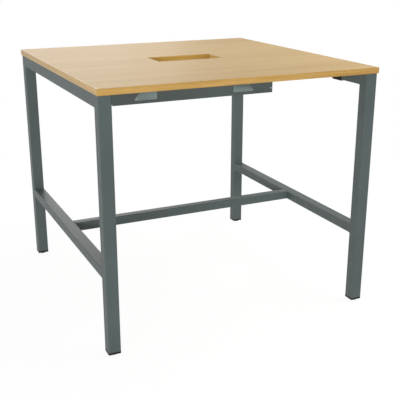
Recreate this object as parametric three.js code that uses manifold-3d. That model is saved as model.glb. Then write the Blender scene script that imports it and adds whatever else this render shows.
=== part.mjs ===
// Standing-height meeting table: a square board on two welded end frames,
// tied by one low stretcher, with a folded cable tray under a central cut-out.
// Millimetres. X runs along the front edge, Y from front to back, Z up.
// The origin is on the floor below the middle of the table.

import * as THREE from 'three';
import { mergeVertices } from 'three/addons/utils/BufferGeometryUtils.js';
import Module from 'manifold-3d';

const wasm = await Module();
wasm.setup();

// Whole table
const TABLE_WIDTH = 1200;
const TABLE_DEPTH = 1200;
const TABLE_HEIGHT = 1047;

// Worktop: faced board, lipped all round and inside the cut-out
const BOARD_THICKNESS = 25;
const BAND_THICKNESS = 2;
const BAND_ROUND = 1.5;
const GLUE_LINE = 0.1;
const CUTOUT_LENGTH = 304;
const CUTOUT_WIDTH = 142;

// Welded end frames of square and rectangular tube
const LEG_SIZE = 50;
const LEG_INSET = 4;
const TOP_RAIL_HEIGHT = 50;
const LOW_RAIL_HEIGHT = 40;
const LOW_RAIL_TOP = 354;
const TUBE_WALL = 2;
const TUBE_ROUND = 4;
const WELD_GAP = 0.3;
const SEAT_GAP = 0.1;

// Stretcher: a tube pushed over a spigot on each low rail and screwed from below
const STRETCHER_SIZE = 40;
const SPIGOT_LENGTH = 90;
const SPIGOT_WALL = 4;
const SPIGOT_CLEARANCE = 0.4;
const SPIGOT_SCREW_PITCH = 50;
const MACHINE_SCREW_SIZE = 6;
const MACHINE_SCREW_HEAD = 11;
const MACHINE_SCREW_HEAD_HEIGHT = 3.3;
const MACHINE_SCREW_LENGTH = 10;
const SCREW_CLEARANCE = 0.3;

// Cable tray: one folded sheet hung from the underside of the board
const TRAY_LENGTH = 769;
const TRAY_WIDTH = 235;
const TRAY_DEPTH = 141;
const TRAY_SHEET = 1.5;
const TRAY_BEND = 2;
const TRAY_FLANGE = 22;
const TRAY_END_LIP = 14;
const TRAY_LIP_RELIEF = 5;
const WINDOW_OFFSET = 184;
const WINDOW_SILL = 15;
const WINDOW_FOOT = 106;
const WINDOW_HEAD = 59;
const WINDOW_HEIGHT = 60;
const WINDOW_ROUND = 3;
const LINK_HOLE = 5;
const LINK_HOLE_FROM_END = 7.5;
const LINK_HOLE_HEIGHT = 21;
const TRAY_SCREW_FROM_END = 40;
const WOOD_SCREW_HOLE = 5;

// Moulded clips that hook under the top rails and hold the board down
const CLIP_LENGTH = 60;
const CLIP_WALL = 3.5;
const CLIP_LIP = 16;
const CLIP_LEAF = 28;
const CLIP_FROM_EDGE = 212;
const CLIP_SLOT = 7;
const CLIP_SCREW_PITCH = 36;
const CLIP_ROUND = 1.5;

// Foot of each leg: a moulded cap with a nut boss, and a levelling foot on a stem
const CAP_FLANGE = 5;
const CAP_PLUG_DEPTH = 22;
const CAP_WALL = 2.5;
const CAP_FIT = 0.3;
const CAP_BOSS_DIAMETER = 20;
const PAD_DIAMETER = 36;
const PAD_HEIGHT = 5.5;
const PAD_GAP = 0.5;
const PAD_ROUND = 1.5;
const PAD_RIM_HEIGHT = 3.5;
const PAD_HUB_DIAMETER = 22;
const STEM_DIAMETER = 10;
const STEM_LENGTH = 40;
const STEM_CHAMFER = 1;
const STEM_CLEARANCE = 0.3;

// Facets
const CORNER_SEGMENTS = 4;
const ROUND_SEGMENTS = 24;
const HOLE_SEGMENTS = 12;
const BEND_SEGMENTS = 4;

// Heights and places that follow from the sizes above
const CAP_BOTTOM = PAD_HEIGHT + PAD_GAP;
const LEG_BOTTOM = CAP_BOTTOM + CAP_FLANGE + SEAT_GAP;
const BOARD_BOTTOM = TABLE_HEIGHT - BOARD_THICKNESS;
const FRAME_TOP = BOARD_BOTTOM - SEAT_GAP;
const LEG_X = TABLE_WIDTH / 2 - LEG_INSET - LEG_SIZE / 2;
const LEG_Y = TABLE_DEPTH / 2 - LEG_INSET - LEG_SIZE / 2;
const RAIL_LENGTH = 2 * (LEG_Y - LEG_SIZE / 2 - WELD_GAP);
const RAIL_INNER_X = LEG_X - LEG_SIZE / 2;
const STRETCHER_LENGTH = 2 * (RAIL_INNER_X - WELD_GAP);
const STRETCHER_MID_Z = LOW_RAIL_TOP - STRETCHER_SIZE / 2;

const finish = (color, roughness, metalness = 0) =>
  new THREE.MeshStandardMaterial({ color, roughness, metalness });
const beechFoil = finish(0xdcc095, 0.45);
const edgeLipping = finish(0xcda061, 0.45);
const greyPaint = finish(0x5e6564, 0.55, 0.1);
const blackNylon = finish(0x1b1b1c, 0.5);
const zincPlate = finish(0xb9bbb8, 0.35, 0.9);

// Closed geometry to solid, and back again after cuts and joins
function solidOf(geometry) {
  const bare = geometry.clone();
  bare.deleteAttribute('normal');
  bare.deleteAttribute('uv');
  const merged = mergeVertices(bare, 1e-4);
  return new wasm.Manifold(new wasm.Mesh({
    numProp: 3,
    vertProperties: new Float32Array(merged.attributes.position.array),
    triVerts: new Uint32Array(merged.index.array),
  }));
}

function geometryOf(solid) {
  const { vertProperties, triVerts } = solid.getMesh();
  const geometry = new THREE.BufferGeometry();
  geometry.setAttribute('position', new THREE.BufferAttribute(vertProperties, 3));
  geometry.setIndex(new THREE.BufferAttribute(triVerts, 1));
  geometry.computeVertexNormals();
  return geometry;
}

const joined = (...parts) => geometryOf(parts.map(solidOf).reduce((sum, part) => sum.add(part)));
const cutBy = (base, ...tools) =>
  geometryOf(tools.map(solidOf).reduce((rest, tool) => rest.subtract(tool), solidOf(base)));

// Outline through corner points, each corner [x, y, radius] rounded by an arc tangent to both sides
function roundedOutline(corners) {
  const shape = new THREE.Shape();
  corners.forEach(([x, y, radius = 0], index) => {
    const corner = new THREE.Vector2(x, y);
    const before = new THREE.Vector2(...corners.at(index - 1)).sub(corner).normalize();
    const after = new THREE.Vector2(...corners[(index + 1) % corners.length]).sub(corner).normalize();
    const put = index === 0 ? 'moveTo' : 'lineTo';
    if (radius === 0) {
      shape[put](x, y);
      return;
    }
    const half = Math.acos(before.dot(after)) / 2;
    const reach = radius / Math.tan(half);
    const centre = before.clone().add(after).setLength(radius / Math.sin(half)).add(corner);
    const start = corner.clone().addScaledVector(before, reach);
    const end = corner.clone().addScaledVector(after, reach);
    const from = Math.atan2(start.y - centre.y, start.x - centre.x);
    const to = Math.atan2(end.y - centre.y, end.x - centre.x);
    shape[put](start.x, start.y);
    shape.absarc(centre.x, centre.y, radius, from, to, before.cross(after) > 0);
  });
  shape.closePath();
  return shape;
}

function rectangle(width, height, radius = 0) {
  const x = width / 2;
  const y = height / 2;
  return roundedOutline([[-x, -y, radius], [x, -y, radius], [x, y, radius], [-x, y, radius]]);
}

const extruded = (shape, depth, curveSegments = CORNER_SEGMENTS) =>
  new THREE.ExtrudeGeometry(shape, { depth, curveSegments, bevelEnabled: false });

// A profile drawn in (Y, Z) carried along X, or drawn in (X, Z) carried along Y, centred on the origin
const alongX = (shape, length) =>
  extruded(shape, length).translate(0, 0, -length / 2).rotateX(Math.PI / 2).rotateZ(Math.PI / 2);
const alongY = (shape, length) =>
  extruded(shape, length).translate(0, 0, -length / 2).rotateX(Math.PI / 2);

const upright = (diameter, height, segments = ROUND_SEGMENTS) =>
  new THREE.CylinderGeometry(diameter / 2, diameter / 2, height, segments)
    .rotateX(Math.PI / 2)
    .translate(0, 0, height / 2);

// Rolled tube section with round outer and inner corners
function tubeSection(width, height, wall) {
  const section = rectangle(width, height, TUBE_ROUND);
  section.holes.push(rectangle(width - 2 * wall, height - 2 * wall, Math.max(TUBE_ROUND - wall, wall / 4)));
  return section;
}

const table = new THREE.Group();

function addMesh(group, name, geometry, material, x = 0, y = 0, z = 0) {
  const mesh = new THREE.Mesh(geometry, material);
  mesh.name = name;
  mesh.position.set(x, y, z);
  group.add(mesh);
  return mesh;
}

// Group turned half a turn about Z for the opposite side
function facing(turned) {
  const group = new THREE.Group();
  group.rotation.z = turned ? Math.PI : 0;
  table.add(group);
  return group;
}

// Worktop panel: the board inside its lipping, with the cut-out opened for its own bands
const bandStep = BAND_THICKNESS + GLUE_LINE;
const panelWidth = TABLE_WIDTH - 2 * bandStep;
const panelDepth = TABLE_DEPTH - 2 * bandStep;
const panelOutline = rectangle(panelWidth, panelDepth);
panelOutline.holes.push(rectangle(CUTOUT_LENGTH + 2 * bandStep, CUTOUT_WIDTH + 2 * bandStep));
addMesh(table, 'worktop_panel', extruded(panelOutline, BOARD_THICKNESS), beechFoil, 0, 0, BOARD_BOTTOM);

// Lipping strip: flat against the board at 0, its two outer arrises rounded within its thickness
const arris = Math.min(BAND_ROUND, 0.9 * BAND_THICKNESS);
const bandProfile = roundedOutline([
  [0, 0],
  [BAND_THICKNESS, 0, arris],
  [BAND_THICKNESS, BOARD_THICKNESS, arris],
  [0, BOARD_THICKNESS],
]);

function addBand(group, name, length, x, y, turn) {
  const band = addMesh(group, name, alongY(bandProfile, length), edgeLipping, x, y, BOARD_BOTTOM);
  band.rotation.z = turn;
}

// Side bands end flush with the board, and the front and back bands cover their ends
addBand(table, 'edge_band_right', panelDepth, TABLE_WIDTH / 2 - BAND_THICKNESS, 0, 0);
addBand(table, 'edge_band_left', panelDepth, BAND_THICKNESS - TABLE_WIDTH / 2, 0, Math.PI);
addBand(table, 'edge_band_back', TABLE_WIDTH, 0, TABLE_DEPTH / 2 - BAND_THICKNESS, Math.PI / 2);
addBand(table, 'edge_band_front', TABLE_WIDTH, 0, BAND_THICKNESS - TABLE_DEPTH / 2, -Math.PI / 2);

// Cut-out bands face inwards, the short ones held between the long ones
const longBand = CUTOUT_LENGTH + 2 * BAND_THICKNESS;
const shortBand = CUTOUT_WIDTH - 2 * GLUE_LINE;
addBand(table, 'cutout_band_back', longBand, 0, CUTOUT_WIDTH / 2 + BAND_THICKNESS, -Math.PI / 2);
addBand(table, 'cutout_band_front', longBand, 0, -CUTOUT_WIDTH / 2 - BAND_THICKNESS, Math.PI / 2);
addBand(table, 'cutout_band_right', shortBand, CUTOUT_LENGTH / 2 + BAND_THICKNESS, 0, Math.PI);
addBand(table, 'cutout_band_left', shortBand, -CUTOUT_LENGTH / 2 - BAND_THICKNESS, 0, 0);

// Stretcher screw, head down at z = 0 and shank up
function machineScrew() {
  const head = MACHINE_SCREW_HEAD / 2;
  const shank = MACHINE_SCREW_SIZE / 2;
  const dome = MACHINE_SCREW_HEAD_HEIGHT;
  const button = [0, 1, 2, 3].map((step) => {
    const angle = (step * Math.PI) / 8;
    return new THREE.Vector2(head * Math.sin(angle), -dome * Math.cos(angle));
  });
  return new THREE.LatheGeometry([
    ...button,
    new THREE.Vector2(head, 0),
    new THREE.Vector2(shank, 0),
    new THREE.Vector2(shank, MACHINE_SCREW_LENGTH),
    new THREE.Vector2(0, MACHINE_SCREW_LENGTH),
  ], ROUND_SEGMENTS).rotateX(Math.PI / 2);
}

// Screw places along X from a low rail's inner face
const screwPlaces = [-1, 1].map((side) => SPIGOT_LENGTH / 2 + (side * SPIGOT_SCREW_PITCH) / 2);

// Bore through the bottom walls only, from below the stretcher to halfway up to its middle
function screwBore(x) {
  const quarter = STRETCHER_SIZE / 4;
  return upright(MACHINE_SCREW_SIZE + 2 * SCREW_CLEARANCE, 2 * quarter).translate(x, 0, -3 * quarter);
}

// Stretcher tube, with screw holes through its bottom wall near both ends
const stretcherTube = alongX(tubeSection(STRETCHER_SIZE, STRETCHER_SIZE, TUBE_WALL), STRETCHER_LENGTH);
const stretcherBores = [-1, 1].flatMap((side) =>
  screwPlaces.map((place) => screwBore(side * (RAIL_INNER_X - place))));
addMesh(table, 'stretcher', cutBy(stretcherTube, ...stretcherBores), greyPaint, 0, 0, STRETCHER_MID_Z);

// Spigot: short thick-walled tube welded to the low rail, tapped from below
function spigot() {
  const size = STRETCHER_SIZE - 2 * TUBE_WALL - 2 * SPIGOT_CLEARANCE;
  const section = rectangle(size, size, Math.max(TUBE_ROUND - TUBE_WALL, 0));
  section.holes.push(rectangle(size - 2 * SPIGOT_WALL, size - 2 * SPIGOT_WALL));
  const bores = screwPlaces.map((place) => screwBore(SPIGOT_LENGTH / 2 + WELD_GAP - place));
  return cutBy(alongX(section, SPIGOT_LENGTH), ...bores);
}

// One end frame: two legs, a top rail and a low rail, with the spigot for the stretcher
function addEndFrame(side) {
  const group = facing(side === 'left');
  const legLength = FRAME_TOP - LEG_BOTTOM;
  const legTube = extruded(tubeSection(LEG_SIZE, LEG_SIZE, TUBE_WALL), legLength);
  const near = side === 'left' ? 'back' : 'front';
  const far = side === 'left' ? 'front' : 'back';
  addMesh(group, `leg_${near}_${side}`, legTube, greyPaint, LEG_X, -LEG_Y, LEG_BOTTOM);
  addMesh(group, `leg_${far}_${side}`, legTube, greyPaint, LEG_X, LEG_Y, LEG_BOTTOM);
  const topRail = alongY(tubeSection(LEG_SIZE, TOP_RAIL_HEIGHT, TUBE_WALL), RAIL_LENGTH);
  const lowRail = alongY(tubeSection(LEG_SIZE, LOW_RAIL_HEIGHT, TUBE_WALL), RAIL_LENGTH);
  addMesh(group, `top_rail_${side}`, topRail, greyPaint, LEG_X, 0, FRAME_TOP - TOP_RAIL_HEIGHT / 2);
  addMesh(group, `low_rail_${side}`, lowRail, greyPaint, LEG_X, 0, LOW_RAIL_TOP - LOW_RAIL_HEIGHT / 2);
  const spigotX = RAIL_INNER_X - WELD_GAP - SPIGOT_LENGTH / 2;
  addMesh(group, `spigot_${side}`, spigot(), greyPaint, spigotX, 0, STRETCHER_MID_Z);
  const screwZ = STRETCHER_MID_Z - STRETCHER_SIZE / 2 - SEAT_GAP;
  ['outer', 'inner'].forEach((place, index) => {
    const screwX = RAIL_INNER_X - screwPlaces[index];
    addMesh(group, `stretcher_screw_${side}_${place}`, machineScrew(), zincPlate, screwX, 0, screwZ);
  });
}

addEndFrame('right');
addEndFrame('left');

// Sheet folded along a line of points: the line is rounded at each fold and given the sheet's thickness
function foldedSection(points, sheet, insideRadius) {
  const radius = insideRadius + sheet / 2;
  const spine = [];
  points.forEach((point, index) => {
    const here = new THREE.Vector2(...point);
    const last = index === points.length - 1;
    const into = index > 0 ? here.clone().sub(new THREE.Vector2(...points[index - 1])).normalize() : null;
    const out = last ? into : new THREE.Vector2(...points[index + 1]).sub(here).normalize();
    if (index === 0 || last) {
      spine.push({ at: here, heading: out.angle() });
      return;
    }
    const turn = Math.atan2(into.cross(out), into.dot(out));
    const start = here.clone().addScaledVector(into, -radius * Math.tan(Math.abs(turn) / 2));
    const side = Math.sign(turn);
    const centre = start.clone().add(new THREE.Vector2(-into.y, into.x).multiplyScalar(side * radius));
    for (let step = 0; step <= BEND_SEGMENTS; step += 1) {
      const heading = into.angle() + (turn * step) / BEND_SEGMENTS;
      const spoke = heading - (side * Math.PI) / 2;
      const at = new THREE.Vector2(Math.cos(spoke), Math.sin(spoke)).multiplyScalar(radius).add(centre);
      spine.push({ at, heading });
    }
  });
  const offset = ({ at, heading }, distance) =>
    new THREE.Vector2(at.x - distance * Math.sin(heading), at.y + distance * Math.cos(heading));
  const left = spine.map((place) => offset(place, sheet / 2));
  const right = spine.map((place) => offset(place, -sheet / 2)).reverse();
  return new THREE.Shape([...left, ...right]);
}

// Cable tray: flanges, two walls and a floor in one fold, a low lip turned up at each end,
// windows for plugs, and a hole near each end of the walls to link it to the next tray
function cableTray() {
  const half = TRAY_SHEET / 2;
  const wallY = TRAY_WIDTH / 2 - half;
  const flangeY = TRAY_WIDTH / 2 + TRAY_FLANGE;
  const top = -half;
  const floor = half - TRAY_DEPTH;
  const trough = alongX(foldedSection(
    [[-flangeY, top], [-wallY, top], [-wallY, floor], [wallY, floor], [wallY, top], [flangeY, top]],
    TRAY_SHEET, TRAY_BEND,
  ), TRAY_LENGTH);

  const lipWidth = TRAY_WIDTH - 2 * (TRAY_SHEET + TRAY_BEND + TRAY_LIP_RELIEF);
  const lipFace = TRAY_LENGTH / 2 - half;
  const lipFoot = TRAY_LENGTH / 2 - 2 * (TRAY_SHEET + TRAY_BEND);
  const lipTop = TRAY_END_LIP - TRAY_DEPTH;
  const lips = [-1, 1].map((end) => alongY(foldedSection(
    [[end * lipFoot, floor], [end * lipFace, floor], [end * lipFace, lipTop]], TRAY_SHEET, TRAY_BEND,
  ), lipWidth));
  const lipCut = TRAY_LENGTH / 2 - lipFoot;
  const lipGaps = [-1, 1].map((end) =>
    new THREE.BoxGeometry(2 * lipCut, lipWidth + 2 * TRAY_LIP_RELIEF, 2 * TRAY_SHEET)
      .translate((end * TRAY_LENGTH) / 2, 0, floor));

  const sill = WINDOW_SILL - TRAY_DEPTH;
  const windows = [-1, 1].map((side) => alongY(roundedOutline([
    [side * WINDOW_OFFSET, sill, WINDOW_ROUND],
    [side * (WINDOW_OFFSET + WINDOW_FOOT), sill, WINDOW_ROUND],
    [side * (WINDOW_OFFSET + WINDOW_HEAD), sill + WINDOW_HEIGHT, WINDOW_ROUND],
    [side * WINDOW_OFFSET, sill + WINDOW_HEIGHT, WINDOW_ROUND],
  ]), 2 * TRAY_WIDTH));
  const linkX = TRAY_LENGTH / 2 - LINK_HOLE_FROM_END;
  const linkHoles = [-linkX, linkX].map((x) =>
    new THREE.CylinderGeometry(LINK_HOLE / 2, LINK_HOLE / 2, 2 * TRAY_WIDTH, HOLE_SEGMENTS)
      .translate(x, 0, LINK_HOLE_HEIGHT - TRAY_DEPTH));
  const endScrewX = TRAY_LENGTH / 2 - TRAY_SCREW_FROM_END;
  const screwY = (TRAY_WIDTH + TRAY_FLANGE) / 2;
  const screwHoles = [-endScrewX, 0, endScrewX].flatMap((x) => [-screwY, screwY].map((y) =>
    upright(WOOD_SCREW_HOLE, 4 * TRAY_SHEET, HOLE_SEGMENTS).translate(x, y, -3 * TRAY_SHEET)));
  return joined(cutBy(trough, ...lipGaps, ...windows, ...linkHoles, ...screwHoles), ...lips);
}

addMesh(table, 'cable_tray', cableTray(), greyPaint, 0, 0, BOARD_BOTTOM - SEAT_GAP);

// Top clip: a leaf under the board, a web down the rail's inner face and a lip hooked under the rail
function topClip() {
  const web = TOP_RAIL_HEIGHT + SEAT_GAP;
  const profile = roundedOutline([
    [-CLIP_WALL - CLIP_LEAF, 0],
    [-CLIP_WALL - CLIP_LEAF, -CLIP_WALL, CLIP_ROUND],
    [-CLIP_WALL, -CLIP_WALL, CLIP_WALL],
    [-CLIP_WALL, -web - CLIP_WALL, CLIP_WALL],
    [CLIP_LIP, -web - CLIP_WALL, CLIP_ROUND],
    [CLIP_LIP, -web],
    [0, -web],
    [0, 0],
  ]);
  const slot = new THREE.BoxGeometry(4 * CLIP_LIP, CLIP_SLOT, TOP_RAIL_HEIGHT / 2).translate(0, 0, -web);
  const screwX = -CLIP_WALL - CLIP_LEAF / 2;
  const screwHoles = [-1, 1].map((side) => upright(WOOD_SCREW_HOLE, 4 * CLIP_WALL, HOLE_SEGMENTS)
    .translate(screwX, (side * CLIP_SCREW_PITCH) / 2, -3 * CLIP_WALL));
  return cutBy(alongY(profile, CLIP_LENGTH), slot, ...screwHoles);
}

function addTopClips(side) {
  const group = facing(side === 'left');
  const clipY = TABLE_DEPTH / 2 - CLIP_FROM_EDGE;
  const clipX = RAIL_INNER_X - SEAT_GAP;
  const near = side === 'left' ? 'back' : 'front';
  const far = side === 'left' ? 'front' : 'back';
  addMesh(group, `top_clip_${near}_${side}`, topClip(), blackNylon, clipX, -clipY, FRAME_TOP - SEAT_GAP);
  addMesh(group, `top_clip_${far}_${side}`, topClip(), blackNylon, clipX, clipY, FRAME_TOP - SEAT_GAP);
}

addTopClips('right');
addTopClips('left');

// Leg cap: flange under the tube's end, hollow plug inside it, and a ribbed boss for the stem
function legCap() {
  const plugSize = LEG_SIZE - 2 * TUBE_WALL - 2 * CAP_FIT;
  const plugRound = Math.max(TUBE_ROUND - TUBE_WALL, 0);
  const boreSize = plugSize - 2 * CAP_WALL;
  const flange = extruded(rectangle(LEG_SIZE, LEG_SIZE, TUBE_ROUND), CAP_FLANGE);
  const wall = rectangle(plugSize, plugSize, plugRound);
  wall.holes.push(rectangle(boreSize, boreSize));
  const height = CAP_FLANGE + CAP_PLUG_DEPTH;
  const rib = new THREE.BoxGeometry(plugSize - CAP_WALL, CAP_WALL, height).translate(0, 0, height / 2);
  const crossRib = rib.clone().rotateZ(Math.PI / 2);
  const body = joined(flange, extruded(wall, height), rib, crossRib, upright(CAP_BOSS_DIAMETER, height));
  const hole = upright(STEM_DIAMETER + 2 * STEM_CLEARANCE, 2 * height).translate(0, 0, -height / 2);
  return cutBy(body, hole);
}

// Levelling foot: round pad with a raised hub, and the screwed stem above it
function levellingFoot() {
  const pad = PAD_DIAMETER / 2;
  const stem = STEM_DIAMETER / 2;
  const stemTop = PAD_HEIGHT + STEM_LENGTH;
  const profile = [
    [0, 0],
    [pad - PAD_ROUND, 0],
    [pad, PAD_ROUND],
    [pad, PAD_RIM_HEIGHT],
    [PAD_HUB_DIAMETER / 2, PAD_HEIGHT],
    [stem, PAD_HEIGHT],
    [stem, stemTop - STEM_CHAMFER],
    [stem - STEM_CHAMFER, stemTop],
    [0, stemTop],
  ].map(([radius, height]) => new THREE.Vector2(radius, height));
  return new THREE.LatheGeometry(profile, ROUND_SEGMENTS).rotateX(Math.PI / 2);
}

for (const [row, y] of [['front', -LEG_Y], ['back', LEG_Y]]) {
  for (const [side, x] of [['left', -LEG_X], ['right', LEG_X]]) {
    addMesh(table, `leg_cap_${row}_${side}`, legCap(), blackNylon, x, y, CAP_BOTTOM);
    addMesh(table, `levelling_foot_${row}_${side}`, levellingFoot(), blackNylon, x, y, 0);
  }
}

export default table;
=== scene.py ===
# %% [markdown]
# # A standing meeting table
# A square board faced with beech foil stands on two welded end frames of painted steel tube.
# One low stretcher ties the frames, and a folded tray hangs under a cut-out in the board.
# This lesson loads the solids where they stand, gives every surface the finish of the real
# thing, and adds what only shows close up: feet, rims, screws, threads and welds.

# %% Load the solids
import math

import bpy
import numpy as np
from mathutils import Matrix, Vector


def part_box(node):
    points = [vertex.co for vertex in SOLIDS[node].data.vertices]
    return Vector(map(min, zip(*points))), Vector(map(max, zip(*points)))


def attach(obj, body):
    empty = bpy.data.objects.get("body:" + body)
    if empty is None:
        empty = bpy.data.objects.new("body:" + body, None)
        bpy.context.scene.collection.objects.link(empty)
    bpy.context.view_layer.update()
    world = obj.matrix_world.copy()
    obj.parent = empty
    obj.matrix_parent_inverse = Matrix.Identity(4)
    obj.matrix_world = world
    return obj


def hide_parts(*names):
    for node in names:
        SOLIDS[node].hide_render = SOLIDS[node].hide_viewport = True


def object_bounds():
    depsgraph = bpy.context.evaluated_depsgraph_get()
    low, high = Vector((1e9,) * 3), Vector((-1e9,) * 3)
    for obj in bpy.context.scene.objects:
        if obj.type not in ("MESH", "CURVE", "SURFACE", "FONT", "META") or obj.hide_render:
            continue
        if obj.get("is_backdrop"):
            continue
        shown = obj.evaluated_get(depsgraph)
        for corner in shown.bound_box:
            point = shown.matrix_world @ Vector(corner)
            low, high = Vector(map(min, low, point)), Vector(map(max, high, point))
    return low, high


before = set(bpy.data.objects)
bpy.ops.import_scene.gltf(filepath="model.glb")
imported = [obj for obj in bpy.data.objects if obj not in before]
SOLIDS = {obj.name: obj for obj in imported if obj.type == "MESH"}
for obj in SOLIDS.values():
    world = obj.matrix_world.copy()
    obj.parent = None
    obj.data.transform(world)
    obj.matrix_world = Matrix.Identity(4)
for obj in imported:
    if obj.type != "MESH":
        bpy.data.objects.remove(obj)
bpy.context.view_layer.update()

MM = 0.001

# %% [markdown]
# ## The camera
# A view is matched by four things: where the eye is, what it aims at, the focal length and
# the roll. They could be found by eye, with many tries. Here they were worked out from the
# straight edges of the table, whose real sizes are known. The roll is nil.

# %% Camera
EYE = Vector((-1.3551, -3.0465, 1.4962))
AIM = Vector((0.0730, 0.0, 0.3679))
FOCAL_LENGTH = 66.81
SENSOR_WIDTH = 36.0

scene = bpy.context.scene
lens = bpy.data.cameras.new("camera")
lens.lens = FOCAL_LENGTH
lens.sensor_width = SENSOR_WIDTH
camera = bpy.data.objects.new("camera", lens)
camera.location = EYE
camera.rotation_euler = (AIM - EYE).to_track_quat("-Z", "Y").to_euler()
scene.collection.objects.link(camera)
scene.camera = camera
print(f"camera {(AIM - EYE).length:.2f} m from what it aims at")

# %% [markdown]
# ## Nodes and colours
# Every finish below is a small graph of nodes. It could be clicked together by hand, but a graph
# in code can be read, compared and changed. One function adds a node, sets it up and links it,
# so a graph reads from top to bottom like a recipe. Colours are written as the hex values of a
# paint card and turned to linear light, which is what a shader works in.

# %% Helpers for finishes


def linear(hex_code):
    """sRGB to linear: c / 12.92 up to 0.04045, and ((c + 0.055) / 1.055) ** 2.4 above it."""
    channels = np.array([int(hex_code[i:i + 2], 16) for i in (1, 3, 5)]) / 255
    curve = np.where(channels <= 0.04045, channels / 12.92, ((channels + 0.055) / 1.055) ** 2.4)
    return (*curve, 1.0)


def add_node(tree, kind, inputs=None, stops=(), **settings):
    """Add one node. Settings are its own properties, inputs gives a socket, by its name or number,
    a plain value or the output of another node, and stops are a ramp's colours, spread evenly."""
    node = tree.nodes.new(kind)
    for name, value in settings.items():
        setattr(node, name, value)
    for socket, value in (inputs or {}).items():
        if isinstance(value, bpy.types.NodeSocket):
            tree.links.new(value, node.inputs[socket])
        else:
            node.inputs[socket].default_value = value
    for index, colour in enumerate(stops):
        ramp = node.color_ramp.elements
        place = index / (len(stops) - 1)
        stop = ramp[index] if place in (0, 1) else ramp.new(place)
        stop.color = linear(colour)
    return node


def empty_tree(holder):
    """The node tree of a material or a world, switched on and cleared."""
    holder.use_nodes = True
    holder.node_tree.nodes.clear()
    return holder.node_tree


def new_finish(name):
    """A material and its empty tree."""
    material = bpy.data.materials.new(name)
    return material, empty_tree(material)


def shade(tree, inputs):
    """One shader with the given inputs, wired to the tree's output."""
    shader = add_node(tree, "ShaderNodeBsdfPrincipled", inputs)
    add_node(tree, "ShaderNodeOutputMaterial", {"Surface": shader.outputs["BSDF"]})


# %% [markdown]
# ## White all round
# The table stands in soft, even light with white all round it. A white world alone could do
# that, but it would flood the object and bleach its colours. So the world is white only to the
# rays by which things are seen: from the eye, from a mirror or through glass. To all other rays
# it is a plain grey, which gives the object its even light.

# %% World
WHITE = (1.0, 1.0, 1.0, 1.0)
WORLD_LEVEL = 0.36

scene.view_settings.view_transform = "Standard"


def seen_rays(tree):
    """Two values: 1 for every ray by which things are seen, and 1 for a mirror's rays alone."""
    path = add_node(tree, "ShaderNodeLightPath")
    eye, mirror, glass = (path.outputs[f"Is {ray} Ray"] for ray in ("Camera", "Glossy", "Transmission"))
    either = add_node(tree, "ShaderNodeMath", {0: eye, 1: mirror}, operation="MAXIMUM")
    seen = add_node(tree, "ShaderNodeMath", {0: either.outputs[0], 1: glass}, operation="MAXIMUM")
    return seen.outputs[0], mirror


def studio_world():
    """Grey light, mixed with white where the ray is one by which things are seen."""
    world = bpy.data.worlds.new("studio")
    tree = empty_tree(world)
    light = add_node(tree, "ShaderNodeBackground", {"Color": WHITE, "Strength": WORLD_LEVEL})
    white = add_node(tree, "ShaderNodeBackground", {"Color": WHITE, "Strength": 1.0})
    seen, _ = seen_rays(tree)
    sky = add_node(tree, "ShaderNodeMixShader", {0: seen, 1: light.outputs[0], 2: white.outputs[0]})
    add_node(tree, "ShaderNodeOutputWorld", {"Surface": sky.outputs[0]})
    return world


scene.world = studio_world()
print(f"world level {WORLD_LEVEL}")

# %% [markdown]
# ## The paper floor
# Under the table lies a wide sheet of pale paper. Lit like the rest it would look grey, with
# strong shadows. So the eye sees it mostly as white, with a small share of the lit paper mixed
# in, which keeps a faint shadow round the feet and fades out further off. What that share lacks
# to white in full light is made up, so that only shadow is grey. Mirror rays get a larger share,
# so that painted sides don't shine as if the floor glowed. From below the paper is clear, so that
# the underside of the table can be looked at.

# %% Paper floor
FLOOR_SIZE = 80.0
PAPER = "#F2F2F0"
SHADOW_SHARE = 0.15
SHADOW_FADE = (1.0, 2.6)
PAPER_SHORT_OF_WHITE = 0.48
MIRROR_SHARE = 0.65


def studio_paper():
    """Seen, it is share x lit + (1 - share) x white, and the share falls to nothing with the
    distance from the middle. To all other rays it is lit paper alone."""
    paper, tree = new_finish("studio_paper")
    lit = add_node(tree, "ShaderNodeBsdfDiffuse", {"Color": linear(PAPER)})
    seen, mirror = seen_rays(tree)
    place = add_node(tree, "ShaderNodeTexCoord").outputs["Object"]
    away = add_node(tree, "ShaderNodeVectorMath", {0: place}, operation="LENGTH").outputs["Value"]
    near = add_node(tree, "ShaderNodeMapRange", {
        "Value": away, "From Min": SHADOW_FADE[0], "From Max": SHADOW_FADE[1],
        "To Min": SHADOW_SHARE, "To Max": 0.0}).outputs[0]
    share = add_node(tree, "ShaderNodeMix", {0: mirror, 2: near, 3: MIRROR_SHARE}, data_type="FLOAT")
    made_up = add_node(tree, "ShaderNodeMath", {
        0: near, 1: PAPER_SHORT_OF_WHITE, 2: 1.0}, operation="MULTIPLY_ADD")
    white = add_node(tree, "ShaderNodeEmission", {"Color": WHITE, "Strength": made_up.outputs[0]})
    shown = add_node(tree, "ShaderNodeMixShader", {
        0: share.outputs[0], 1: white.outputs[0], 2: lit.outputs[0]})
    top = add_node(tree, "ShaderNodeMixShader", {0: seen, 1: lit.outputs[0], 2: shown.outputs[0]})
    clear = add_node(tree, "ShaderNodeBsdfTransparent")
    under = add_node(tree, "ShaderNodeNewGeometry").outputs["Backfacing"]
    sheet = add_node(tree, "ShaderNodeMixShader", {0: under, 1: top.outputs[0], 2: clear.outputs[0]})
    add_node(tree, "ShaderNodeOutputMaterial", {"Surface": sheet.outputs[0]})
    return paper


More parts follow.
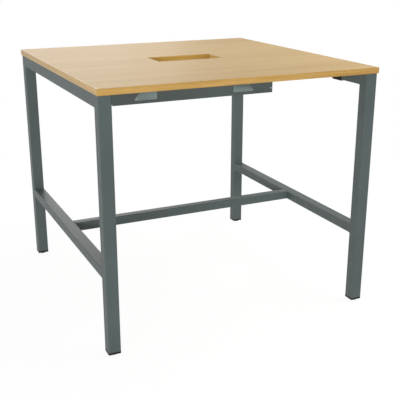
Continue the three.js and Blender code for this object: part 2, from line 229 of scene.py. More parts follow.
half = FLOOR_SIZE / 2
floor_mesh = bpy.data.meshes.new("studio_floor")
floor_edge = [(-half, -half, 0), (half, -half, 0), (half, half, 0), (-half, half, 0)]
floor_mesh.from_pydata(floor_edge, [], [(0, 1, 2, 3)])
floor_mesh.materials.append(studio_paper())
floor = bpy.data.objects.new("studio_floor", floor_mesh)
scene.collection.objects.link(floor)
floor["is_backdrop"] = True
print(f"paper {FLOOR_SIZE:.0f} m wide")

# %% [markdown]
# ## The lamps
# Two large lamps are low and far off, in front and behind, because the board would shade high
# ones from all that hangs under it. Mirrors don't see these two, or shiny edges would flash
# white. A long panel behind on the left and a broad one above it give the board its sheen, and
# one above the front right evens it out. Light that falls through the cut-out and is passed on
# inside the tray would take many bounces to trace, so two small lamps stand in for it.

# %% Lamps
TABLE_MIDDLE = (0.0, 0.0, 0.7)


def soft_lamp(name, place, aim, size, power, mirrored=True):
    """A panel of light in metres and watts, turned to a point. The eye never sees it, but mirrors
    do unless they are told not to."""
    panel = bpy.data.lights.new(name, "AREA")
    panel.shape = "RECTANGLE"
    panel.size, panel.size_y = size
    panel.energy = power
    lamp = bpy.data.objects.new(name, panel)
    lamp.location = place
    lamp.rotation_euler = (Vector(aim) - Vector(place)).to_track_quat("-Z", "Y").to_euler()
    lamp.visible_camera = False
    lamp.visible_glossy = mirrored
    scene.collection.objects.link(lamp)


soft_lamp("low_front_left", (-6.5, -8.3, 1.3), TABLE_MIDDLE, size=(5.0, 2.4), power=725, mirrored=False)
soft_lamp("low_back_right", (8.6, 4.4, 1.3), TABLE_MIDDLE, size=(2.4, 2.4), power=430, mirrored=False)
soft_lamp("low_back_left", (-1.15, 5.0, 1.5), (-1.15, 0.0, 1.5), size=(5.3, 0.9), power=15)
soft_lamp("high_back", (0.2, 4.2, 2.7), TABLE_MIDDLE, size=(3.5, 3.5), power=45)
soft_lamp("high_front_right", (1.9, -0.9, 2.6), (0.4, -0.2, 1.0), size=(1.6, 1.6), power=28)
soft_lamp("inside_tray", (0.06, 0.0, 1.018), (0.06, 0.0, 0.95), size=(0.64, 0.2), power=1.6, mirrored=False)
soft_lamp("under_cutout", (0.0, 0.0, 0.93), (0.0, 0.0, 1.0), size=(0.22, 0.1), power=0.26, mirrored=False)

# %% [markdown]
# ## Grain
# Wood is long in the grain and fine across it. A picture of wood could be laid on, but it would
# blur close up and repeat further off. Noise does neither, once it is stretched along the grain
# to a real length and width. Slow noise also pushes it sideways, because grain is never quite
# straight.

# %% Grain


def grain_noise(tree, place, along, length, width, detail, roughness=0.5):
    """Noise whose features are length long on the grain axis and width across it, in mm."""
    scale = [1 / (width * MM)] * 3
    scale["XYZ".index(along)] = 1 / (length * MM)
    stretched = add_node(tree, "ShaderNodeMapping", {"Vector": place, "Scale": scale})
    settings = {"Vector": stretched.outputs[0], "Scale": 1.0, "Detail": detail, "Roughness": roughness}
    return add_node(tree, "ShaderNodeTexNoise", settings).outputs["Fac"]


def wandering(tree, along, swing, length, width):
    """Object coordinates pushed sideways by slow noise, so that straight grain wanders by swing mm."""
    place = add_node(tree, "ShaderNodeTexCoord").outputs["Object"]
    slow = grain_noise(tree, place, along, length, width, detail=1.0)
    push = add_node(tree, "ShaderNodeMapRange", {
        "Value": slow, "To Min": -swing * MM, "To Max": swing * MM})
    sideways = [0.0 if axis == along else 1.0 for axis in "XYZ"]
    shift = add_node(tree, "ShaderNodeVectorMath", {
        0: sideways, "Scale": push.outputs[0]}, operation="SCALE")
    moved = add_node(tree, "ShaderNodeVectorMath", {0: place, 1: shift.outputs[0]}, operation="ADD")
    return moved.outputs[0]


# %% [markdown]
# ## Beech foil
# The board is chipboard faced with melamine foil. The foil is decor paper, printed as beech,
# soaked in resin and pressed against a steel sheet that leaves a satin skin with fine pores.
# Beech has a quiet figure: broad bands of slightly darker growth, narrow streaks that wander
# along the grain, and short dark flecks. Bands and streaks are mixed to one tone, the flecks lie
# on top of it, and their noise also gives the pores and the gloss. Lengths are in millimetres.

# %% Beech foil
WANDER = {"swing": 7, "length": 420, "width": 160}
LENGTHS = {"band": 1300, "streak": 330, "fibre": 60}
STREAK_SHARE = 0.55
TONE_RANGE = (0.3, 0.7)
FLECK_RANGE = (0.56, 0.74)
FLECK_STRENGTH = 0.5
SHEEN_SPREAD = (-0.04, 0.05)
PORE_STRENGTH = 0.25


def beech(name, along, colours, fleck, roughness, gloss, widths, pore_depth):
    """Printed beech: bands and streaks mixed to one tone, flecks on top, and a pressed pore bump."""
    material, tree = new_finish(name)
    place = wandering(tree, along, **WANDER)
    bands = grain_noise(tree, place, along, LENGTHS["band"], widths["band"], detail=1.0)
    streaks = grain_noise(
        tree, place, along, LENGTHS["streak"], widths["streak"], detail=4.0, roughness=0.6)
    fibres = grain_noise(tree, place, along, LENGTHS["fibre"], widths["fibre"], detail=2.0)
    tone = add_node(tree, "ShaderNodeMix", {0: STREAK_SHARE, 2: bands, 3: streaks}, data_type="FLOAT")
    spread = add_node(tree, "ShaderNodeMapRange", {
        "Value": tone.outputs[0], "From Min": TONE_RANGE[0], "From Max": TONE_RANGE[1]})
    ground = add_node(tree, "ShaderNodeValToRGB", {"Fac": spread.outputs[0]}, stops=colours)
    marks = add_node(tree, "ShaderNodeMapRange", {
        "Value": fibres, "From Min": FLECK_RANGE[0], "From Max": FLECK_RANGE[1], "To Max": FLECK_STRENGTH})
    printed = add_node(tree, "ShaderNodeMix", {
        0: marks.outputs[0], 6: ground.outputs["Color"], 7: linear(fleck)}, data_type="RGBA")
    sheen = add_node(tree, "ShaderNodeMapRange", {
        "Value": fibres, "To Min": roughness + SHEEN_SPREAD[0], "To Max": roughness + SHEEN_SPREAD[1]})
    pores = add_node(tree, "ShaderNodeBump", {
        "Height": fibres, "Strength": PORE_STRENGTH, "Distance": pore_depth * MM})
    shade(tree, {
        "Base Color": printed.outputs[2], "Roughness": sheen.outputs[0], "Normal": pores.outputs[0],
        "Specular IOR Level": gloss})
    return material


FOIL_TONES = ["#C7A15F", "#D0AB69", "#D9B776"]
FOIL_WIDTHS = {"band": 110, "streak": 16, "fibre": 1.6}
beech_foil = beech("melamine_beech_foil", "X", FOIL_TONES, fleck="#B58D50", roughness=0.46, gloss=0.3,
                   widths=FOIL_WIDTHS, pore_depth=0.05)
print("finish:", beech_foil.name)

# %% [markdown]
# ## Edge lipping
# The cut edges of the board are closed by strips of ABS plastic, printed to go with the foil.
# Print on plastic is a little warmer and stronger than the foil, shinier, and its streaks are as
# narrow as the strip. The foil's recipe does it with other sizes. The grain follows the strip, so
# there is one finish for each direction. The strips that run along Y, on the ends of the board's
# grain and in the cut-out, get paler tones: painted sheen for the pale shine those sides catch
# at a low angle, not a paler print.

# %% Edge lipping
# The Y tones are paler than the X tones by painted sheen; the X tones are the print itself.
LIPPING_TONES_AND_SHEEN = {"X": ["#9D7124", "#B78D42", "#D1A962"], "Y": ["#BC9250", "#CBA462", "#DAB577"]}
LIPPING_WIDTHS = {"band": 30, "streak": 5, "fibre": 1.2}
lipping = {
    axis: beech(f"abs_edge_lipping_{axis.lower()}", axis, tones, fleck="#A3782F", roughness=0.3, gloss=0.75,
                widths=LIPPING_WIDTHS, pore_depth=0.03)
    for axis, tones in LIPPING_TONES_AND_SHEEN.items()
}
print("finishes:", [finish.name for finish in lipping.values()])

# %% [markdown]
# ## Powder coat
# The tubes and the tray are sprayed with dry dark grey powder and baked. The powder melts to
# a satin skin with an orange peel of about a millimetre and a grain of slightly paler specks.
# One plain grey would look like plastic, so noise as large as each drives tone, gloss and a
# shallow bump. Peel and specks are drawn four times coarser than life, or they would be lost at
# this distance.

# %% Powder coat
COARSER = 4
PEEL = 1.2 * COARSER * MM
SPECK = 0.4 * COARSER * MM
CLOUD = 160 * MM
SPECK_SHARE = 0.5
PAINT_TONES = ["#4B5555", "#515B5B", "#576161"]
PAINT_RANGE = (0.25, 0.75)
PAINT_ROUGHNESS = (0.36, 0.5)
PAINT_GLOSS = 0.28
PEEL_STRENGTH = 0.2
PEEL_DEPTH = 0.2 * MM


def powder_coat(name):
    """Grey mottled by clouds and specks, with the noise of the peel as gloss and as a bump."""
    material, tree = new_finish(name)
    place = add_node(tree, "ShaderNodeTexCoord").outputs["Object"]
    noises = [
        add_node(tree, "ShaderNodeTexNoise", {"Vector": place, "Scale": 1 / size, "Detail": detail})
        for size, detail in ((PEEL, 2.0), (SPECK, 1.0), (CLOUD, 2.0))]
    peel, specks, clouds = (noise.outputs["Fac"] for noise in noises)
    tone = add_node(tree, "ShaderNodeMix", {0: SPECK_SHARE, 2: clouds, 3: specks}, data_type="FLOAT")
    spread = add_node(tree, "ShaderNodeMapRange", {
        "Value": tone.outputs[0], "From Min": PAINT_RANGE[0], "From Max": PAINT_RANGE[1]})
    grey = add_node(tree, "ShaderNodeValToRGB", {"Fac": spread.outputs[0]}, stops=PAINT_TONES)
    satin = add_node(tree, "ShaderNodeMapRange", {
        "Value": peel, "To Min": PAINT_ROUGHNESS[0], "To Max": PAINT_ROUGHNESS[1]})
    bump = add_node(tree, "ShaderNodeBump", {
        "Height": peel, "Strength": PEEL_STRENGTH, "Distance": PEEL_DEPTH})
    shade(tree, {
        "Base Color": grey.outputs["Color"], "Roughness": satin.outputs[0], "Normal": bump.outputs[0],
        "Specular IOR Level": PAINT_GLOSS})
    return material


frame_paint = powder_coat("powder_coat_dark_grey")
tray_paint = powder_coat("powder_coat_dark_grey_tray")
print("finishes:", frame_paint.name, tray_paint.name)

# %% [markdown]
# ## Moulded nylon
# Leg caps, pads and clips are moulded in black nylon. The mould is spark eroded, so the skin
# is a fine matt grain, a little shinier on its tops. Nylon is never a true black. One noise of
# the grain's size, drawn coarser, drives tone, gloss and bump together, as one grain does.

# %% Moulded nylon
NYLON_GRAIN = 0.5 * COARSER * MM
NYLON_TONES = ["#0E0E0F", "#141415", "#1C1C1D"]
NYLON_ROUGHNESS = (0.62, 0.42)
NYLON_GLOSS = 0.25
NYLON_IOR = 1.53
GRAIN_STRENGTH = 0.3
GRAIN_DEPTH = 0.1 * MM


def moulded_nylon():
    """Near-black whose tops are paler and shinier than its hollows."""
    material, tree = new_finish("moulded_black_nylon")
    place = add_node(tree, "ShaderNodeTexCoord").outputs["Object"]
    grain = add_node(tree, "ShaderNodeTexNoise", {
        "Vector": place, "Scale": 1 / NYLON_GRAIN, "Detail": 3.0}).outputs["Fac"]
    black = add_node(tree, "ShaderNodeValToRGB", {"Fac": grain}, stops=NYLON_TONES)
    matt = add_node(tree, "ShaderNodeMapRange", {
        "Value": grain, "To Min": NYLON_ROUGHNESS[0], "To Max": NYLON_ROUGHNESS[1]})
    bump = add_node(tree, "ShaderNodeBump", {
        "Height": grain, "Strength": GRAIN_STRENGTH, "Distance": GRAIN_DEPTH})
    shade(tree, {
        "Base Color": black.outputs["Color"], "Roughness": matt.outputs[0], "Normal": bump.outputs[0],
        "Specular IOR Level": NYLON_GLOSS, "IOR": NYLON_IOR})
    return material


black_nylon = moulded_nylon()
print("finish:", black_nylon.name)

# %% [markdown]
# ## Zinc plate
# Screws and stems are steel with bright zinc on it. The plating is silver with a faint blue
# and straw bloom from its passivation, and small dull patches. A plain bright metal would look
# like chrome. One noise as large as the patches drives tone and gloss, so that no two screws look
# quite alike.

# %% Zinc plate
BLOOM = 3 * MM
ZINC_TONES = ["#B9C0C6", "#C6C8C6", "#CFC9B8"]
ZINC_ROUGHNESS = (0.25, 0.42)


def zinc_plate():
    """Metal whose tone drifts between a blue and a straw silver, with uneven gloss."""
    material, tree = new_finish("bright_zinc_plate")
    place = add_node(tree, "ShaderNodeTexCoord").outputs["Object"]
    bloom = add_node(tree, "ShaderNodeTexNoise", {
        "Vector": place, "Scale": 1 / BLOOM, "Detail": 2.0}).outputs["Fac"]
    silver = add_node(tree, "ShaderNodeValToRGB", {"Fac": bloom}, stops=ZINC_TONES)
    dull = add_node(tree, "ShaderNodeMapRange", {
        "Value": bloom, "To Min": ZINC_ROUGHNESS[0], "To Max": ZINC_ROUGHNESS[1]})
    shade(tree, {"Base Color": silver.outputs["Color"], "Roughness": dull.outputs[0], "Metallic": 1.0})
    return material


zinc = zinc_plate()
print("finish:", zinc.name)

# %% [markdown]
# ## Dress the solids
# Most solids already have the right shape, so they only need their finish. It could be set one
# by one, but a table of name beginnings is shorter and holds for any number of legs or screws.
# Bands also look at the direction they run in.

# %% Dress the solids
FINISHES = {
    "worktop_panel": beech_foil,
    "leg_cap": black_nylon,
    "leg_": frame_paint,
    "top_rail": frame_paint,
    "low_rail": frame_paint,
    "stretcher_screw": zinc,
    "stretcher": frame_paint,
    "spigot": frame_paint,
    "cable_tray": tray_paint,
    "top_clip": black_nylon,
    "levelling_foot": black_nylon,
}


def finish_of(name):
    """The finish of the first beginning that fits the name, or the lipping along a band's length."""
    if "band" in name:
        low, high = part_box(name)
        return lipping["X" if high.x - low.x > high.y - low.y else "Y"]
    return next(finish for start, finish in FINISHES.items() if name.startswith(start))


for name, solid in SOLIDS.items():
    solid.data.materials.clear()
    solid.data.materials.append(finish_of(name))
print(f"{len(SOLIDS)} solids dressed")

# %% [markdown]
# ## From grids to closed meshes
# What follows is small hardware: feet, collars, screws and welds. Modelled by hand, each would
# take many points. But each is a form that changes ring by ring, so it is worked out as a grid
# of points, rings by columns, with whole numpy arrays. Two functions stitch such a grid into a
# skin of quads. One closes each end with a fan of triangles, where the ring has shrunk to a
# point. The other joins the last ring to the first. Either way nothing is left open.

# %% Grids to skins


def closed_skin(grid):
    """Points, quads and fans of a grid (rings, columns, 3) whose first and last ring are points."""
    rings, columns = grid.shape[:2]
    points = np.vstack([grid[:1, 0], grid[1:-1].reshape(-1, 3), grid[-1:, 0]])
    here = np.arange(columns)
    beside = np.roll(here, -1)
    start = 1 + columns * np.arange(rings - 3)[:, None]
    above = start + columns
    quads = np.stack([start + here, start + beside, above + beside, above + here], -1)
    last = 1 + columns * (rings - 3)
    bottom = np.stack([0 * here, 1 + beside, 1 + here], -1)
    top = np.stack([0 * here + len(points) - 1, last + here, last + beside], -1)
    return points, quads.reshape(-1, 4), np.vstack([bottom, top])


def closed_loop(grid):
    """Points and quads of a grid (rings, columns, 3) whose last ring joins the first, and no fans."""
    rings, columns = grid.shape[:2]
    here = np.arange(rings * columns).reshape(rings, columns)
    above = np.roll(here, -1, axis=0)
    quads = np.stack([here, np.roll(here, -1, axis=1), np.roll(above, -1, axis=1), above], -1)
    return grid.reshape(-1, 3), quads.reshape(-1, 4), np.zeros((0, 3), int)


# %% [markdown]
# ## Pieces that ride
# Every new piece moves with one body of the frame, takes its finish from one slot and, where it
# is the finer form of a solid, stands for it. One function sees to all of that, so no piece can
# be left behind. It also smooths the skin, but for edges that are meant to be sharp.

# %% Skins to pieces
SHARP_EDGE = math.radians(32)


def add_piece(name, body, finish, grids, stands_for=None, stitch=closed_skin):
    """One smooth-shaded object out of several grids in millimetres, riding on a body of the frame."""
    points, faces, count = [], [], 0
    for grid in grids:
        skin, quads, fans = stitch(grid)
        faces += (quads + count).tolist() + (fans + count).tolist()
        points.append(skin)
        count += len(skin)
    mesh = bpy.data.meshes.new(name)
    mesh.from_pydata((np.vstack(points) * MM).tolist(), [], faces)
    mesh.polygons.foreach_set("use_smooth", np.ones(len(faces), dtype=bool))
    mesh.set_sharp_from_angle(angle=SHARP_EDGE)
    mesh.materials.append(finish)
    piece = bpy.data.objects.new(name, mesh)
    scene.collection.objects.link(piece)
    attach(piece, body)
    if stands_for:
        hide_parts(stands_for)
    print(f"{name}: {len(faces)} faces")


def box_mm(name):
    """Lowest and highest corner of a solid in millimetres."""
    return [np.array(corner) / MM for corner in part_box(name)]


def on_axis(low, high, height):
    """The point at a height on the upright middle line of a box."""
    return np.array([*(low + high)[:2] / 2, height])


# %% [markdown]
# ## Turned forms and threads
# Feet and screws come off a lathe: a radius for each height, swept round an axis. Where a
# spanner or a key grips, the radius also depends on the angle, as a hexagon or a cross. A screw
# thread could be a profile carried along a helix, but its ends are hard to close. Here it is a
# turned form with one more term: the radius follows a ridge that climbs one pitch for each turn.

# %% Turned forms
THREAD_DEPTH = 0.61
THREAD_STEEP = 1.5
THREAD_SLICES = 8
NEARLY_NOTHING = 1e-6


def turned(rows, columns):
    """Rings x = r cos a, y = r sin a, z = h for rows of (r, h), where r is a number or one for
    each column."""
    angles = 2 * np.pi * np.arange(columns) / columns
    radius = np.stack([np.broadcast_to(r, columns) for r, _ in rows])
    height = np.array([h for _, h in rows])[:, None] + 0 * radius
    return np.stack([radius * np.cos(angles), radius * np.sin(angles), height], -1)


def regular(across_flats, sides, columns):
    """Radius of a regular polygon by angle: half the width across flats / cos(angle to the
    nearest flat)."""
    angles = 2 * np.pi * np.arange(columns) / columns
    wedge = 2 * np.pi / sides
    return across_flats / 2 / np.cos((angles + wedge / 2) % wedge - wedge / 2)


def crossed(length, width, columns):
    """Radius of a cross by angle t to its nearest arm: the smaller of length / cos t and
    width / sin t, halved."""
    angles = 2 * np.pi * np.arange(columns) / columns
    off = np.abs((angles + np.pi / 4) % (np.pi / 2) - np.pi / 4)
    return np.minimum(length / 2 / np.cos(off), width / 2 / np.maximum(np.sin(off), NEARLY_NOTHING))


def thread(diameter, pitch, low, high, columns):
    """Rows of a screw thread: the radius drops by the thread's depth, a share of the pitch, with a
    flat-topped triangle wave of height / pitch - angle / turn."""
    turns = np.arange(columns) / columns
    heights = np.arange(low, high, pitch / THREAD_SLICES)
    wave = np.abs(2 * ((heights[:, None] / pitch - turns) % 1) - 1)
    ridge = np.clip(0.5 + THREAD_STEEP * (wave - 0.5), 0, 1)
    return list(zip(diameter / 2 - THREAD_DEPTH * pitch * (1 - ridge), heights))


# %% [markdown]
# ## Levelling feet
# Each leg stands on a screwed foot: a nylon pad with a rolled rim and a hexagon for a spanner,
# moulded round the head of a zinc-plated M10 stem. Turning it raises or lowers that corner of
# the table. Disc and hexagon could be two meshes pushed into each other. One profile whose radius
# changes from a circle to a hexagon leaves no faces inside. The pad stands for the plain foot among
# the solids, and pad and stem move with the foot's body.

# %% Levelling feet
CORNERS = ("front_left", "front_right", "back_left", "back_right")
PAD_RADIUS = 18.0
PAD_RIM = 3.5
PAD_TOP = 5.5
PAD_COLUMNS = 72
HOLLOW_DEPTH = 0.6
HOLLOW_INSET = 5.0
RIM_ROUND = 1.5
RIM_EASED = ((0.0, 1.0), (0.3, 0.3), (1.0, 0.0))
SHOULDER = (12.0, 4.3)
SPANNER = 17.0
SPANNER_LOW = 4.5
SPANNER_ROOT = (0.5, 0.3)
SPANNER_BEVEL = (0.3, 0.4)
STEM_SIZE = 10.0
STEM_PITCH = 1.5
STEM_SUNK = 1.0
STEM_TIP = 1.0
STEM_GAP = 0.2
STEM_COLUMNS = 24


def foot_pad():
    """Lathe profile from the hollow under the pad, round the rim, up the hexagon and back to the
    axis."""
    hexagon = regular(SPANNER, 6, PAD_COLUMNS)
    a = np.radians([-90, -60, -30, 0])
    hollow = PAD_RADIUS - HOLLOW_INSET
    rows = [(0, HOLLOW_DEPTH), (hollow, HOLLOW_DEPTH), (hollow + HOLLOW_DEPTH, 0)]
    rows += zip(PAD_RADIUS - RIM_ROUND + RIM_ROUND * np.cos(a), RIM_ROUND + RIM_ROUND * np.sin(a))
    rows += [(PAD_RADIUS - inwards, PAD_RIM - down) for inwards, down in RIM_EASED]
    rows += [SHOULDER, (hexagon + SPANNER_ROOT[0], SPANNER_LOW), (hexagon, SPANNER_LOW + SPANNER_ROOT[1])]
    rows += [(hexagon, PAD_TOP - SPANNER_BEVEL[1])]
    rows += [(np.minimum(hexagon, SPANNER / 2 + SPANNER_BEVEL[0]), PAD_TOP)]
    rows += [(STEM_SIZE / 2 + STEM_GAP, PAD_TOP), (0, PAD_TOP)]
    return turned(rows, PAD_COLUMNS)


def foot_stem(top):
    """Thread from inside the pad to a chamfered tip at the given height."""
    start = PAD_TOP - STEM_SUNK
    rows = [(0, start), *thread(STEM_SIZE, STEM_PITCH, start, top - STEM_TIP, STEM_COLUMNS)]
    rows += [(STEM_SIZE / 2 - STEM_TIP, top), (0, top)]
    return turned(rows, STEM_COLUMNS)


for corner in CORNERS:
    solid = f"levelling_foot_{corner}"
    body = f"foot_{corner}"
    low, high = box_mm(solid)
    place = on_axis(low, high, low[2])
    stem = place + foot_stem(high[2] - low[2])
    add_piece(f"foot_pad_{corner}", body, black_nylon, [place + foot_pad()], solid)
    add_piece(f"foot_stem_{corner}", body, zinc, [stem])

# %% [markdown]
# ## Collars of the leg caps
# The moulded cap in the end of each leg laps the sawn edge of the tube with a thin collar, so a
# black rim shows all round above the floor. A collar is one small section carried round a square
# with round corners. It comes back to where it began both ways, so it needs no ends.

# %% Cap collars
TUBE_ROUND = 4.0
COLLAR_PROUD = 0.35
COLLAR_SUNK = 0.1
COLLAR_LAP = 3.2
COLLAR_BEVEL = 0.3
ROUND_COLUMNS = 9


def collar(half, low, high):
    """Section of (offset, height) carried round a square: corner's centre + (round + offset)
    (cos a, sin a), with a quarter of a turn for each corner."""
    quarters = np.arange(4)[:, None] * np.pi / 2
    a = (quarters + np.linspace(0, np.pi / 2, ROUND_COLUMNS)).ravel()
    towards = np.repeat(quarters + np.pi / 4, ROUND_COLUMNS)
    x, y = (half - TUBE_ROUND) * np.sign([np.cos(towards), np.sin(towards)])
    bevel = COLLAR_PROUD - COLLAR_BEVEL
    outside = [(COLLAR_PROUD, low + COLLAR_BEVEL), (COLLAR_PROUD, high - COLLAR_BEVEL)]
    section = [(bevel, low), *outside, (bevel, high), (-COLLAR_SUNK, high), (-COLLAR_SUNK, low)]
    offset, height = np.array(section).T[:, :, None]
    reach = TUBE_ROUND + offset
    return np.stack([x + reach * np.cos(a), y + reach * np.sin(a), height + 0 * a], -1)


collars = []
for corner in CORNERS:
    low, high = box_mm(f"leg_{corner}")
    under = box_mm(f"leg_cap_{corner}")[0][2]
    rim = collar((high - low)[0] / 2, under, low[2] + COLLAR_LAP)
    collars.append(on_axis(low, high, 0) + rim)
add_piece("cap_collars", "table", black_nylon, collars, stitch=closed_loop)

# %% [markdown]
# ## Socket screws of the stretcher
# The stretcher is a tube pushed over a spigot on each low rail. Two button-head screws come up
# through its underside at each end. Seen from below, each shows a domed head with a 4 mm hexagon
# socket. Cutting the socket out of a dome would leave ragged edges, so one lathe profile does it
# all: out of the socket, over the dome and up the thread.

# %% Socket screws
SOCKET = 4.0
SOCKET_DEPTH = 2.0
SOCKET_LEDGE = 0.6
DRILL_POINT = 0.5
MOUTH_FLAT = 0.6
MOUTH_BEVEL = (0.15, 0.2)
DOME_RINGS = 8
THREAD_START = 0.2
SCREW_SIZE = 6.0
SCREW_PITCH = 1.0
SCREW_TIP = (0.7, 0.6)
SCREW_COLUMNS = 48


def socket_screw(head, dome, length):
    """Head down: dome r = R sin a, z = -dome cos a from the socket's mouth to the rim, then the
    thread and its chamfered tip."""
    hexagon = regular(SOCKET, 6, SCREW_COLUMNS)
    a = np.linspace(np.arcsin((SOCKET / 2 + MOUTH_FLAT) / (head / 2)), np.pi / 2, DOME_RINGS)
    flat = -dome * np.cos(a[0])
    bottom = flat + SOCKET_DEPTH
    rows = [(0, bottom + DRILL_POINT), (hexagon - SOCKET_LEDGE, bottom), (hexagon, bottom)]
    rows += [(hexagon, flat + MOUTH_BEVEL[1]), (hexagon + MOUTH_BEVEL[0], flat)]
    rows += zip(head / 2 * np.sin(a), -dome * np.cos(a))
    rows += [(SCREW_SIZE / 2, 0)]
    rows += thread(SCREW_SIZE, SCREW_PITCH, THREAD_START, length - SCREW_TIP[1], SCREW_COLUMNS)
    rows += [(SCREW_SIZE / 2 - SCREW_TIP[0], length), (0, length)]
    return turned(rows, SCREW_COLUMNS)


under = box_mm("stretcher")[0][2]
for name in [name for name in SOLIDS if name.startswith("stretcher_screw")]:
    low, high = box_mm(name)
    screw = on_axis(low, high, under) + socket_screw(high[0] - low[0], under - low[2], high[2] - under)
    add_piece(f"socket_{name}", "table", zinc, [screw], name)

# %% [markdown]
# ## Wood screws
# Six screws hold the tray's flanges and eight hold the clips to the underside of the board. They
# are pan-head screws with a cross recess and a coarse thread that cuts its own way into the
# chipboard. They are turned like the socket screws, with a cross in place of the hexagon.

# %% Wood screw
WOOD_HEAD = 8.5
WOOD_HEAD_HEIGHT = 2.6
WOOD_SIZE = 4.0
WOOD_PITCH = 1.8
WOOD_LENGTH = 16.0
WOOD_POINT = 3.0
WOOD_TIP = (0.3, 0.4)
WOOD_COLUMNS = 32
PAN_START = 0.75
PAN_FULLNESS = 0.5
PAN_RINGS = 7
RECESS_LENGTH = 4.4
RECESS_WIDTH = 1.2
RECESS_DEPTH = 1.7
RECESS_TAPER = (0.4, 0.9)
RECESS_BEVEL = (0.12, 0.1)


def wood_screw():
    """Head down: a tapered cross recess, a pan head r = R sin a, z = -h cos a to the power of its
    fullness, then thread and point."""
    cross = crossed(RECESS_LENGTH, RECESS_WIDTH, WOOD_COLUMNS)
    bottom = -WOOD_HEAD_HEIGHT
    a = np.linspace(PAN_START, np.pi / 2, PAN_RINGS)
    rows = [(0, bottom + RECESS_DEPTH), (RECESS_TAPER[0] * cross, bottom + RECESS_TAPER[1] * RECESS_DEPTH)]
    rows += [(cross, bottom + RECESS_BEVEL[1]), (cross + RECESS_BEVEL[0], bottom)]
    rows += zip(WOOD_HEAD / 2 * np.sin(a), bottom * np.cos(a) ** PAN_FULLNESS)
    rows += [(WOOD_SIZE / 2, 0)]
    rows += thread(WOOD_SIZE, WOOD_PITCH, THREAD_START, WOOD_LENGTH - WOOD_POINT, WOOD_COLUMNS)
    rows += [(WOOD_TIP[0], WOOD_LENGTH - WOOD_TIP[1]), (0, WOOD_LENGTH)]
    return turned(rows, WOOD_COLUMNS)


# %% [markdown]
# ## Where the wood screws go
# Each place follows from the box of the piece that is held: along the tray's flanges, and in
# pairs through the flat leaf of each clip. Screws of one kind are joined into one object, since
# they never part.

# %% Places of the wood screws
TRAY_SHEET = 1.5
TRAY_FLANGE = 22.0
TRAY_SCREW_FROM_END = 40.0
CLIP_WALL = 3.5
CLIP_LEAF = 28.0
CLIP_SCREW_PITCH = 36.0

low, high = box_mm("cable_tray")
tray_x = high[0] - TRAY_SCREW_FROM_END
tray_y = high[1] - TRAY_FLANGE / 2
under_flange = high[2] - TRAY_SHEET
tray_places = [(x, y, under_flange) for x in (-tray_x, 0, tray_x) for y in (-tray_y, tray_y)]
add_piece("tray_screws", "table", zinc, [wood_screw() + place for place in tray_places])

clip_places = []
for name in [name for name in SOLIDS if name.startswith("top_clip")]:
    low, high = box_mm(name)
    leaf_x = low[0] + CLIP_LEAF / 2 if low[0] > 0 else high[0] - CLIP_LEAF / 2
    middle = (low[1] + high[1]) / 2
    clip_places += [(leaf_x, middle + side * CLIP_SCREW_PITCH / 2, high[2] - CLIP_WALL) for side in (-1, 1)]
add_piece("clip_screws", "table", zinc, [wood_screw() + place for place in clip_places])

# %% [markdown]
# ## Fillet welds
# Where a rail meets a leg, the bead in the inside corners, above and below the rail, stays as
# the welder left it: a fillet with a ripple for each dip of the wire. A bump in the paint could
# hint at it, but from the side it would be flat. So one section is carried along a straight
# line, and its size swells and shrinks on the way.

# %% Fillet welds
FILLET = 3.2
FILLET_BULGE = 0.12
FOOT_SUNK = 0.1
ROOT_SUNK = 0.12
BEAD_POINTS = 9
RIPPLE = 1.7
RIPPLE_STEPS = 6
RIPPLE_SIZES = (0.93, 0.09)
END_TAPER = 0.5
END_POWER = 16


def capped(rings):
    """The rings with the middle of the first before it, and the middle of the last after it."""
    ends = np.broadcast_to(rings[[0, -1]].mean(axis=1, keepdims=True), (2, *rings.shape[1:]))
    return np.concatenate([ends[:1], rings, ends[1:]])


def carried(section, sizes, place, across, up, length):
    """Rings place + s (across x up) + size(s) (u across + v up), with s over the length and both
    ends closed."""
    across, up = np.array(across, float), np.array(up, float)
    steps = np.linspace(-length / 2, length / 2, len(sizes))[:, None, None]
    outline = section[:, :1] * across + section[:, 1:] * up
    return capped(place + steps * np.cross(across, up) + np.asarray(sizes)[:, None, None] * outline)


def fillet_weld(place, across, up, length):
    """Bead in a corner: r = (1 + bulge sin 2t) / (cos t + sin t), with sunk feet. Its size rises
    and falls with each ripple and drops at the ends, by s to a high power."""
    t = np.linspace(0, np.pi / 2, BEAD_POINTS)
    r = (1 + FILLET_BULGE * np.sin(2 * t)) / (np.cos(t) + np.sin(t))
    bead = np.stack([r * np.cos(t), r * np.sin(t)], -1)
    section = np.vstack([[1.0, -FOOT_SUNK], bead, [-FOOT_SUNK, 1.0], [-ROOT_SUNK, -ROOT_SUNK]])
    s = np.linspace(-1, 1, int(length / RIPPLE * RIPPLE_STEPS))
    dips = np.abs(np.sin(np.pi * s * length / 2 / RIPPLE))
    sizes = FILLET * (RIPPLE_SIZES[0] + RIPPLE_SIZES[1] * dips) * (1 - END_TAPER * s ** END_POWER)
    return carried(section, sizes, place, across, up, length)


# %% [markdown]
# ## Ground seams
# Rails and legs are the same width, so their sides lie flush. There the leg's round corner
# leaves a groove, which is filled with weld and ground almost flat before painting. It is a
# carried section too, with a low crown and a root down in the groove, and a little uneven, as
# grinding by hand leaves it.

# %% Ground seams
SEAM_LAP = 1.6
SEAM_CROWN = 0.14
SEAM_SUNK = 0.03
SEAM_ROOT = (0.15, 0.4)
SEAM_POINTS = 13
SEAM_STEPS = 40
UNEVEN = 0.03
UNEVEN_WAVES = (19, 47)


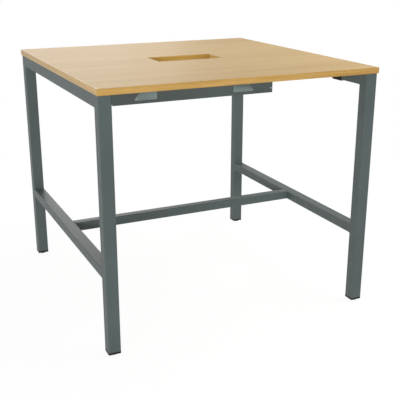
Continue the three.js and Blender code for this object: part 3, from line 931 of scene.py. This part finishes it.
def ground_seam(place, across, up, length):
    """Filled groove beside a round corner: a crown v = c (1 - w w), w from 1 to -1, above a root
    in the groove. Two waves multiplied make its size uneven."""
    w = np.linspace(1, -1, SEAM_POINTS)
    reach = TUBE_ROUND / 2 + SEAM_LAP
    crown = np.stack([TUBE_ROUND / 2 + reach * w, SEAM_CROWN * (1 - w * w) - SEAM_SUNK], -1)
    section = np.vstack([crown, [SEAM_ROOT[0], SEAM_ROOT[1] - TUBE_ROUND]])
    s = np.linspace(0, 1, SEAM_STEPS)
    sizes = 1 + UNEVEN * np.sin(UNEVEN_WAVES[0] * s) * np.sin(UNEVEN_WAVES[1] * s + 1)
    return carried(section, sizes, place, across, up, length)


# %% [markdown]
# ## Corner welds
# Round the corners of a rail the fillet runs into the ground seam. Letting the two straight
# beads overlap would leave a hole on one side and a lump on the other. So a third bead goes
# round the corner, and its section changes with the angle from one to the other.

# %% Corner welds
BEAD_SUNK = 0.15
BEAD_BULGE = 0.27
CORNER_LAP = 0.12
CORNER_STEPS = 14
CORNER_ROOT = (0.5, 0.1)
FLUSH_TURN = 1.0


def corner_weld(centre, out, up, inward, flush):
    """Bead at angles a round a rail's corner, from its side on. Points w = -1 to 1 lead from leg to
    rail with a bulge of 1 - w w. The leg's end goes from a groove, by cos a squared, to a fillet, by
    sin a squared, or stays flush."""
    end = FLUSH_TURN if flush else np.pi / 2 + CORNER_LAP
    a = np.linspace(-CORNER_LAP, end, CORNER_STEPS)[:, None]
    w = np.linspace(-1, 1, BEAD_POINTS)
    groove = (TUBE_ROUND + SEAM_LAP) * np.cos(a) ** 2 + BEAD_SUNK
    fillet = 0 * a if flush else np.sin(a) ** 2
    bulge = BEAD_BULGE * (1 - w * w)
    radius = TUBE_ROUND - BEAD_SUNK + FILLET * fillet * (1 - w) / 2 + bulge
    depth = FILLET * (1 + w) / 2 - groove * (1 - w) / 2 + bulge * fillet
    radius, depth = (np.hstack([line, root + 0 * a]) for line, root in zip((radius, depth), CORNER_ROOT))
    rings = centre + np.stack([out * radius * np.cos(a), inward * depth, up * radius * np.sin(a)], -1)
    return capped(rings if out * up * inward > 0 else rings[:, ::-1])


# %% [markdown]
# ## Lay the welds
# Each end of each rail has a seam on both sides and a bead round all four corners. Fillets go
# below the rail, and above it too if it is a low one: a top rail ends level with its legs, so
# its upper corners stay flush. All places follow from the rails' boxes.

# %% Lay the welds
fillets, seams, corners = [], [], []
for rail in ("top_rail_left", "top_rail_right", "low_rail_left", "low_rail_right"):
    low, high = box_mm(rail)
    middle = (low + high) / 2
    width, _, height = high - low - 2 * TUBE_ROUND
    below, above = (low[2], -1), (high[2], 1)
    level_with_legs = rail.startswith("top")
    for end, inward in ((low[1], 1), (high[1], -1)):
        for level, up in (below,) if level_with_legs else (below, above):
            fillets.append(fillet_weld((middle[0], end, level), (0, inward, 0), (0, 0, up), width))
        for side, out in ((low[0], -1), (high[0], 1)):
            seams.append(ground_seam((side, end, middle[2]), (0, -inward, 0), (out, 0, 0), height))
            for level, up in (below, above):
                centre = np.array([side - out * TUBE_ROUND, end, level - up * TUBE_ROUND])
                corners.append(corner_weld(centre, out, up, inward, level_with_legs and up > 0))
add_piece("fillet_welds", "table", frame_paint, fillets)
add_piece("ground_seams", "table", frame_paint, seams)
add_piece("corner_welds", "table", frame_paint, corners)
print(f"{len(fillets)} fillets, {len(seams)} ground seams and {len(corners)} corners")

# %% [markdown]
# ## The box
# What the eye sees should stay as large as the solids, so the box round all that is shown
# is printed.

# %% Finish
low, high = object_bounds()
print("visual box", [round(v, 4) for v in high - low])
